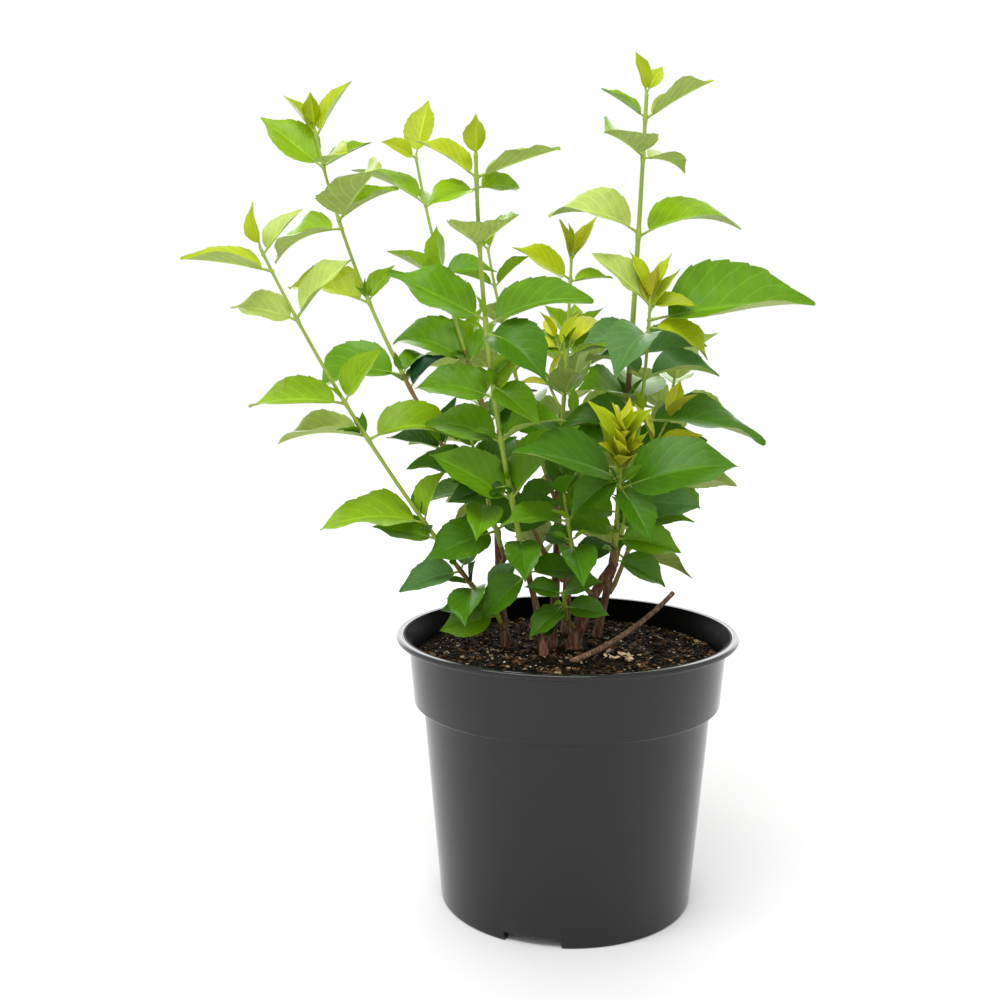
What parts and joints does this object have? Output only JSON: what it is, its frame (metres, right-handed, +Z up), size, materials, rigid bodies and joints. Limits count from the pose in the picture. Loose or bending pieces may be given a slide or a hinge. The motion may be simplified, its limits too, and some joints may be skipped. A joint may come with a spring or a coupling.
{
  "type": "potted mock orange shrub",
  "caption": "Young mock orange shrub in a round black nursery pot: upright leafy shoots with opposite pointed leaves on woody canes.",
  "frame": {"origin": "centre of the flat underside of the pot, on the ground", "axes": "+Z up along the pot's axis; -Y towards the viewer of the picture, the front; +X to the viewer's right"},
  "size_m": [0.3257, 0.2522, 0.4591],
  "materials": {
    "pot_plastic": "glossy black moulded polypropylene",
    "potting_soil": "dark moist peat and bark compost",
    "cane_bark": "thin red brown bark",
    "foliage": "soft green leaves on green stems"
  },
  "bodies": {
    "root": {"pot": "pot_plastic", "soil": "potting_soil", "left_cane": "cane_bark", "front_cane": "cane_bark", "middle_cane": "cane_bark", "right_cane": "cane_bark", "right_back_cane": "cane_bark", "back_cane": "cane_bark", "pruned_stub": "cane_bark", "far_left_shoot": "foliage", "left_shoot": "foliage", "mid_left_shoot": "foliage", "centre_shoot": "foliage", "mid_right_shoot": "foliage", "tall_right_shoot": "foliage", "right_shoot": "foliage", "front_right_shoot": "foliage", "inner_left_shoot": "foliage", "inner_right_shoot": "foliage", "low_left_shoot": "foliage", "low_front_shoot": "foliage", "thin_back_shoot": "foliage", "back_left_shoot": "foliage", "back_shoot": "foliage", "back_right_shoot": "foliage"}
  },
  "joints": []
}
